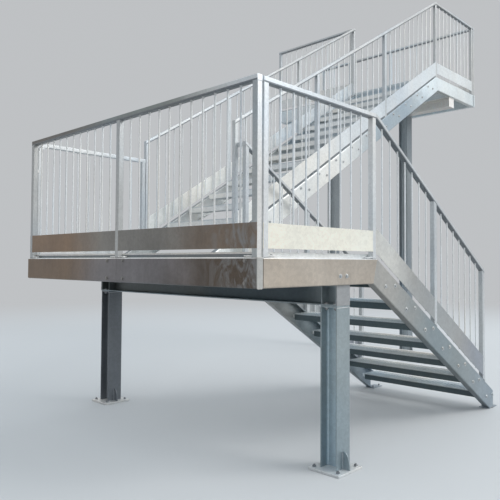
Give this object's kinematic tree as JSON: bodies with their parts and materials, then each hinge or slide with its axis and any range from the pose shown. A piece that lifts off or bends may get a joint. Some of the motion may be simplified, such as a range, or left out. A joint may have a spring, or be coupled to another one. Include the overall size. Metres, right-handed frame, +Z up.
{
  "type": "fire escape stair",
  "caption": "Steel outdoor stair with two straight flights side by side, two landings, railings, cross beams and columns; leads from the ground to an upper door.",
  "frame": {"origin": "middle of the footprint at ground level", "axes": "+X along the flights towards the upper landing, +Y towards the building, +Z up"},
  "size_m": [5.959, 4.255, 4.7878],
  "materials": {
    "galvanised_channel": "satin",
    "galvanised_section": "satin",
    "galvanised_grating": "matte",
    "galvanised_bracket": "satin",
    "galvanised_railing": "satin"
  },
  "bodies": {
    "root": {"lower_cross_beam": "galvanised_section", "lower_far_column": "galvanised_section", "lower_flight_treads": "galvanised_grating", "lower_inner_railing": "galvanised_railing", "lower_inner_stringer": "galvanised_channel", "lower_landing_deck": "galvanised_grating", "lower_landing_joist": "galvanised_channel", "lower_landing_near_railing": "galvanised_railing", "lower_landing_side_channel": "galvanised_channel", "lower_landing_side_railing": "galvanised_railing", "lower_landing_wall_railing": "galvanised_railing", "lower_near_column": "galvanised_section", "lower_outer_railing": "galvanised_railing", "lower_outer_stringer": "galvanised_channel", "lower_tread_cleats": "galvanised_bracket", "upper_cross_beam": "galvanised_section", "upper_far_column": "galvanised_section", "upper_far_railing": "galvanised_railing", "upper_far_stringer": "galvanised_channel", "upper_flight_treads": "galvanised_grating", "upper_landing_deck": "galvanised_grating", "upper_landing_end_channel": "galvanised_channel", "upper_landing_end_railing": "galvanised_railing", "upper_landing_joists": "galvanised_channel", "upper_landing_near_railing": "galvanised_railing", "upper_landing_side_channel": "galvanised_channel", "upper_landing_side_railing": "galvanised_railing", "upper_landing_wall_channel": "galvanised_channel", "upper_near_column": "galvanised_section", "upper_near_railing": "galvanised_railing", "upper_near_stringer": "galvanised_channel", "upper_tread_cleats": "galvanised_bracket"}
  },
  "joints": []
}
